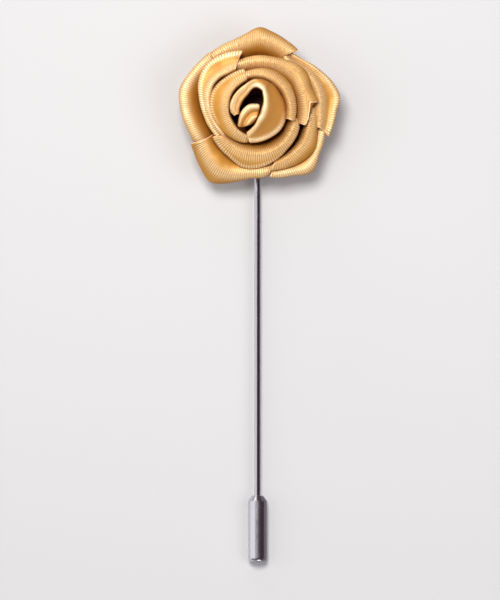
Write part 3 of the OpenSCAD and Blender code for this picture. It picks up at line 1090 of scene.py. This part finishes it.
def satin_face(tree, threads):
    """Colour of the flat ribbon: gold with reddish patches, the twill where it is smooth, and painted shade
    off the crest.
    """
    s = ribbon()

    # lighter threads, in broad clouds
    blend = math_node(tree, "ADD", threads.floats, threads.clouds)
    blend = math_node(tree, "MULTIPLY_ADD", blend, 1.1, -0.6)
    face = mix_colours(tree, blend, s.satin, s.satin_light)

    # reddish along the twill, and all over where the ribbon is smooth
    rosy = math_node(tree, "SUBTRACT", threads.clouds, 0.30)
    rosy = math_node(tree, "MULTIPLY", threads.twill, rosy)
    rosy = math_node(tree, "MAXIMUM", math_node(tree, "MULTIPLY", rosy, 1.3), 0.0)
    rosy = math_node(tree, "MAXIMUM", rosy, math_node(tree, "MULTIPLY", threads.smooth, 0.55))
    face = mix_colours(tree, rosy, face, ROSY_SATIN)

    # the weave darkens smooth ribbon, and ribbon off the crest is painted darker as a whole, as shade
    weave = math_node(tree, "MULTIPLY", threads.smooth, threads.twill)
    weave = math_node(tree, "MULTIPLY", weave, 0.50)
    face = mix_colours(tree, weave, face, tinted(s.satin, WEAVE_TINT))
    off_crest_shade = math_node(tree, "MULTIPLY_ADD", threads.crest, -0.5, 0.5)
    return mix_colours(tree, off_crest_shade, face, tinted(s.satin, OFF_CREST_SHADE_TINT))


def satin_crest(tree, threads, face):
    """Paints a highlight where the ribbon turns over: pale, glinting ribs with golden furrows of painted
    shade.
    """
    s = ribbon()

    # painted highlight: narrow bright lines on the ribs, broken up by painted glints
    line = math_node(tree, "POWER", threads.rib, 2.5)
    line = math_node(tree, "MULTIPLY_ADD", line, 0.70, 0.20)
    bright = math_node(tree, "MULTIPLY", threads.crest, line)
    painted_glints = noise(tree, threads.place, scale=34.0, detail=3.0, roughness=0.7)
    bright = math_node(tree, "MULTIPLY", bright, math_node(tree, "MULTIPLY_ADD", painted_glints, 1.7, 0.32))

    # the painted highlight's colour: cream, more golden in the clouds and where the ribbon is smooth
    tinge = math_node(tree, "MULTIPLY_ADD", threads.clouds, 1.6, -0.85)
    tinge = math_node(tree, "ADD", tinge, math_node(tree, "MULTIPLY", threads.smooth, 0.75))
    cream = mix_colours(tree, tinge, s.satin_highlight, tinted(s.satin_highlight, GOLDEN_HIGHLIGHT_TINT))
    crested = mix_colours(tree, bright, face, cream)

    # painted shade in the furrows between the ribs
    between = math_node(tree, "MULTIPLY", math_node(tree, "MAXIMUM", threads.crest, 0.10), 0.4)
    between = math_node(tree, "MULTIPLY", threads.furrow, between)
    return mix_colours(tree, between, crested, tinted(s.satin, FURROW_SHADE_TINT))


def depth_share(tree, depth, start, run, most):
    """How much a shade covers that comes in over a run of depth from a start, up to most."""
    return limited(tree, math_node(tree, "DIVIDE", math_node(tree, "SUBTRACT", depth, start), run), 0.0, most)


def satin_material():
    """Gold satin: long warp floats, fine weft ribs and a soft, streaked sheen, with painted highlights on its
    crests and painted shade on its slopes and in its gaps.
    """
    found = bpy.data.materials.get("gold_satin")
    if found:
        return found
    s = ribbon()
    material, tree, shader = new_material("gold_satin")
    threads = satin_threads(tree)
    colour = satin_crest(tree, threads, satin_face(tree, threads))

    # painted shade: amber on the slopes, nearly black and dull in the gaps
    depth = surface_value(tree, "depth")
    slope = math_node(tree, "MULTIPLY", depth_share(tree, depth, SLOPE_START, SLOPE_RUN, 1.0), SLOPE_MOST)
    colour = mix_colours(tree, slope, colour, tinted(s.satin, SLOPE_SHADE_TINT))
    deep = depth_share(tree, depth, GAP_START, GAP_RUN, GAP_MOST)
    colour = mix_colours(tree, deep, colour, tinted(s.satin, GAP_SHADE_TINT))

    # relief of the ribs, the floats and the twill
    raised = math_node(tree, "MULTIPLY", threads.rib, math_node(tree, "MAXIMUM", threads.crest, 0.12))
    raised = math_node(tree, "ADD", raised, math_node(tree, "MULTIPLY", threads.floats, 0.8))
    raised = math_node(tree, "ADD", raised, math_node(tree, "MULTIPLY", threads.twill, 0.3))

    # the sheen turns with the ribbon
    tangent = add_node(tree, "ShaderNodeTangent", {"direction_type": "UV_MAP", "uv_map": "ribbon"})
    feed_inputs(tree, shader, {
        "Base Color": colour,
        "Roughness": math_node(tree, "MULTIPLY_ADD", deep, 0.5, 0.46),
        "Normal": bumped(tree, raised, strength=0.6, distance=0.00003),
        "Tangent": tangent.outputs[0],
        "Metallic": 0.3,
        "Anisotropic": 0.6,
        "Anisotropic Rotation": 0.25,
        "Coat Weight": 0.10,
        "Coat Roughness": 0.38,
        "Specular IOR Level": 0.5,
        "Specular Tint": (1.0, 0.80, 0.50, 1.0),
    })
    return material


def sealed_material():
    """Melted satin: glossy and slightly rosy."""
    material, tree, shader = new_material("sealed_satin")
    blobs = noise(tree, object_place(tree), scale=900.0)
    feed_inputs(tree, shader, {
        "Base Color": mix_colours(tree, blobs, MELTED_DARK, MELTED_LIGHT),
        "Roughness": math_node(tree, "MULTIPLY_ADD", blobs, 0.3, 0.40),
        "Specular Tint": (1.0, 0.70, 0.45, 1.0),
    })
    return material


def metal_material(name, colour, roughness):
    """Polished metal with faint drawing marks and handling smears."""
    material, tree, shader = new_material(name)
    place = object_place(tree)
    drawn = add_node(tree, "ShaderNodeMapping", Vector=place, Scale=(9000.0, 60.0, 9000.0))
    marks = noise(tree, drawn.outputs[0], scale=1.0)
    smears = math_node(tree, "MULTIPLY", noise(tree, place, scale=500.0, detail=3.0), 0.10)
    feed_inputs(tree, shader, {
        "Base Color": mix_colours(tree, marks, scaled(colour, 0.86), colour),
        "Roughness": math_node(tree, "ADD", smears, roughness - 0.04),
        "Normal": bumped(tree, marks, strength=0.08, distance=0.00001),
        "Metallic": 1.0,
    })
    return material


def felt_material(name, colour):
    """Felt: matted fibres with a fine uneven surface, its top painted dark as shade under the flower."""
    material, tree, shader = new_material(name)
    place = object_place(tree)
    fine = noise(tree, place, scale=2600.0, detail=4.0, roughness=0.7)
    coarse = noise(tree, place, scale=420.0)
    mixed = math_node(tree, "MULTIPLY", math_node(tree, "ADD", fine, coarse), 0.5)
    felt = mix_colours(tree, mixed, scaled(colour, 0.55), scaled(colour, 1.35))
    height = add_node(tree, "ShaderNodeSeparateXYZ", Vector=place).outputs["Z"]
    # painted shade on the felt's top, under the flower
    shaded_top = math_node(tree, "GREATER_THAN", height, BACKING_HIGH.z - FELT_TOP_SHADE_DEPTH)
    feed_inputs(tree, shader, {
        "Base Color": mix_colours(tree, shaded_top, felt, tinted(colour, FELT_TOP_SHADE_TINT)),
        "Normal": bumped(tree, fine, strength=0.7, distance=0.0001),
        "Roughness": 0.95,
        "Sheen Weight": 0.1,
    })
    return material


# Backing and stage


def felt_disc(rounding):
    """Mesh of a felt disc in the backing's place, with rounded rims."""
    bm = bmesh.new()
    bmesh.ops.create_cone(
        bm, cap_ends=True, segments=96, radius1=BACKING_R, radius2=BACKING_R,
        depth=BACKING_HIGH.z - BACKING_LOW.z,
    )
    middle = Vector((0, 0, (BACKING_HIGH.z + BACKING_LOW.z) / 2))
    bmesh.ops.translate(bm, verts=bm.verts, vec=middle)
    level = [e for e in bm.edges if abs(e.verts[0].co.z - e.verts[1].co.z) < 1e-9]
    rims = [e for e in level if len(e.link_faces) == 2]
    bmesh.ops.bevel(bm, geom=rims, offset=rounding, segments=4, affect="EDGES", profile=0.5)
    mesh = bpy.data.meshes.new("felt_backing")
    bm.to_mesh(mesh)
    bm.free()
    mesh.polygons.foreach_set("use_smooth", [True] * len(mesh.polygons))
    return mesh


def make_floor():
    """A pale matt floor, which polished metal doesn't mirror."""
    mesh = bpy.data.meshes.new("floor")
    corners = [(x * FLOOR_REACH, y * FLOOR_REACH, 0) for x, y in ((-1, -1), (1, -1), (1, 1), (-1, 1))]
    mesh.from_pydata(corners, [], [(0, 1, 2, 3)])
    floor = new_object("floor", mesh)
    material, tree, shader = new_material("pale_floor")
    feed_inputs(tree, shader, {"Base Color": FLOOR_COLOUR, "Roughness": 0.8})
    mesh.materials.append(material)
    floor.visible_glossy = False


def make_camera(s):
    """A camera straight above, far enough away for a flat view."""
    data = bpy.data.cameras.new("camera")
    data.sensor_fit = "VERTICAL"
    data.sensor_height = SENSOR_HEIGHT
    data.lens = SENSOR_HEIGHT * (s.camera_height - s.focus_height) / s.frame_height
    data.clip_start = 0.01
    data.clip_end = 20.0
    camera = new_object("camera", data)
    camera.location = (s.centre_x, s.centre_y, s.camera_height)
    bpy.context.scene.camera = camera


def make_lamps():
    """Soft lamps, each turned to the flower."""
    for name, place, width, height, power, colour, mirrored in LAMPS:
        lamp = bpy.data.lights.new(name, "AREA")
        lamp.shape = "RECTANGLE"
        lamp.size = width
        lamp.size_y = height
        lamp.energy = power
        lamp.color = colour
        light = new_object(name, lamp)
        light.location = place
        light.visible_glossy = mirrored
        aim = Vector(LAMP_TARGET) - Vector(place)
        light.rotation_euler = aim.to_track_quat("-Z", "Y").to_euler()


def make_surroundings():
    """Studio surroundings, darker to the right and above the horizon."""
    world = bpy.data.worlds.new("studio")
    world.use_nodes = True
    sky = world.node_tree
    place = sky.nodes.new("ShaderNodeTexCoord").outputs["Generated"]
    parts = add_node(sky, "ShaderNodeSeparateXYZ", Vector=place)
    across = math_node(sky, "ADD", math_node(sky, "MULTIPLY", parts.outputs["X"], 0.5), 0.5)
    halves = []
    for colours in (ABOVE_HORIZON, BELOW_HORIZON):
        ramp = add_node(sky, "ShaderNodeValToRGB", Fac=across)
        for stop, position, colour in zip(ramp.color_ramp.elements, COLOUR_CHANGE, colours):
            stop.position = position
            stop.color = colour
        halves.append(ramp.outputs[0])
    below = math_node(sky, "LESS_THAN", parts.outputs["Z"], 0.0)
    sky.links.new(mix_colours(sky, below, *halves), sky.nodes["Background"].inputs["Color"])
    bpy.context.scene.world = world
    bpy.context.scene.view_settings.view_transform = "Standard"


# Operators


class PIN_OT_stage(bpy.types.Operator):
    """Set the floor, the camera and the lights"""

    bl_idname = "pin.stage"
    bl_label = "Floor, camera and lights"

    def execute(self, context):
        make_floor()
        make_camera(context.scene.pin_stage)
        make_lamps()
        make_surroundings()
        return {"FINISHED"}


class PIN_OT_outer_folds(bpy.types.Operator):
    """Fold the ribbon of the five outer petals"""

    bl_idname = "pin.outer_folds"
    bl_label = "Outer petals"

    def execute(self, context):
        make_ring("outer")
        return {"FINISHED"}


class PIN_OT_middle_folds(bpy.types.Operator):
    """Fold the ribbon of the four middle petals"""

    bl_idname = "pin.middle_folds"
    bl_label = "Middle petals"

    def execute(self, context):
        make_ring("middle")
        return {"FINISHED"}


class PIN_OT_inner_folds(bpy.types.Operator):
    """Fold the ribbon of the two petals round the bud"""

    bl_idname = "pin.inner_folds"
    bl_label = "Inner petals"

    def execute(self, context):
        make_ring("inner")
        return {"FINISHED"}


class PIN_OT_bud(bpy.types.Operator):
    """Roll the ribbon of the bud"""

    bl_idname = "pin.bud"
    bl_label = "Bud"

    def execute(self, context):
        make_ring("bud")
        make_bud_tip()
        return {"FINISHED"}


class PIN_OT_cut_ends(bpy.types.Operator):
    """Seal the cut ends of the ribbon with a melted edge"""

    bl_idname = "pin.cut_ends"
    bl_label = "Cut ends"

    def execute(self, context):
        verts, edges = [], []
        for ring in RINGS.values():
            for fold in ring.folds:
                points = fold_grid(fold, ring)[0]
                end = points[-1, INNER_STEPS // 3:-OUTER_STEPS // 2] * MM
                first = len(verts)
                verts.extend(end.tolist())
                edges.extend((i, i + 1) for i in range(first, len(verts) - 1))
        mesh = bpy.data.meshes.new("sealed_edges")
        mesh.from_pydata(verts, edges, [])
        obj = new_object("sealed_edges", mesh)
        add_tree(obj, sealed_edge_tree(), {
            "Radius": context.scene.pin_ribbon.seal, "Unevenness": 0.5, "Material": sealed_material(),
        })
        plain_mesh(obj)
        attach(obj, BODY)
        return {"FINISHED"}


class PIN_OT_metal(bpy.types.Operator):
    """Polish the needle and its cap"""

    bl_idname = "pin.metal"
    bl_label = "Needle and cap"

    def execute(self, context):
        s = context.scene.pin_metal
        finishes = (
            ("needle", "drawn_steel", s.needle_steel, s.needle_roughness),
            ("cap", "turned_steel", s.cap_steel, s.cap_roughness),
        )
        for node, name, colour, roughness in finishes:
            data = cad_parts[node].data
            data.materials.clear()
            data.materials.append(metal_material(name, colour, roughness))
        return {"FINISHED"}


class PIN_OT_backing(bpy.types.Operator):
    """Cut the felt backing"""

    bl_idname = "pin.backing"
    bl_label = "Felt backing"

    def execute(self, context):
        s = context.scene.pin_felt
        mesh = felt_disc(s.rounding * MM)
        mesh.materials.append(felt_material("brown_felt", s.felt))
        obj = new_object("felt_backing", mesh)
        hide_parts("backing")
        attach(obj, BODY)

        fibres = new_object("felt_fibres", mesh.copy())
        add_tree(fibres, fibre_tree(), {
            "Density": s.fibres, "Length": s.fibre_length, "Seed": s.seed,
            "Material": felt_material("loose_fibres", scaled(s.felt, s.fibre_light)),
        })
        plain_mesh(fibres)
        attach(fibres, BODY)
        return {"FINISHED"}


OPERATORS = (
    PIN_OT_stage, PIN_OT_outer_folds, PIN_OT_middle_folds, PIN_OT_inner_folds, PIN_OT_bud,
    PIN_OT_cut_ends, PIN_OT_metal, PIN_OT_backing,
)
GROUPS = (
    ("pin_ribbon", RibbonSettings), ("pin_metal", MetalSettings), ("pin_felt", FeltSettings),
    ("pin_stage", StageSettings),
)


class PIN_PT_panel(bpy.types.Panel):
    """Lists the stage and the pieces of the pin in the order they are made"""

    bl_label = "Flower Lapel Pin"
    bl_idname = "PIN_PT_panel"
    bl_space_type = "VIEW_3D"
    bl_region_type = "UI"
    bl_category = "Lapel Pin"

    def draw(self, context):
        for operator in OPERATORS:
            self.layout.operator(operator.bl_idname)
        for title, group in GROUPS:
            box = self.layout.box()
            for setting in group.__annotations__:
                box.prop(getattr(context.scene, title), setting)


def register():
    for title, group in GROUPS:
        bpy.utils.register_class(group)
        setattr(bpy.types.Scene, title, PointerProperty(type=group))
    for operator in OPERATORS:
        bpy.utils.register_class(operator)
    bpy.utils.register_class(PIN_PT_panel)


def unregister():
    bpy.utils.unregister_class(PIN_PT_panel)
    for operator in reversed(OPERATORS):
        bpy.utils.unregister_class(operator)
    for title, group in reversed(GROUPS):
        delattr(bpy.types.Scene, title)
        bpy.utils.unregister_class(group)


def main():
    """Builds everything in order."""
    register()
    bpy.ops.pin.stage()
    bpy.ops.pin.outer_folds()
    bpy.ops.pin.middle_folds()
    bpy.ops.pin.inner_folds()
    bpy.ops.pin.bud()
    bpy.ops.pin.cut_ends()
    bpy.ops.pin.metal()
    bpy.ops.pin.backing()


if __name__ == "__main__":
    main()
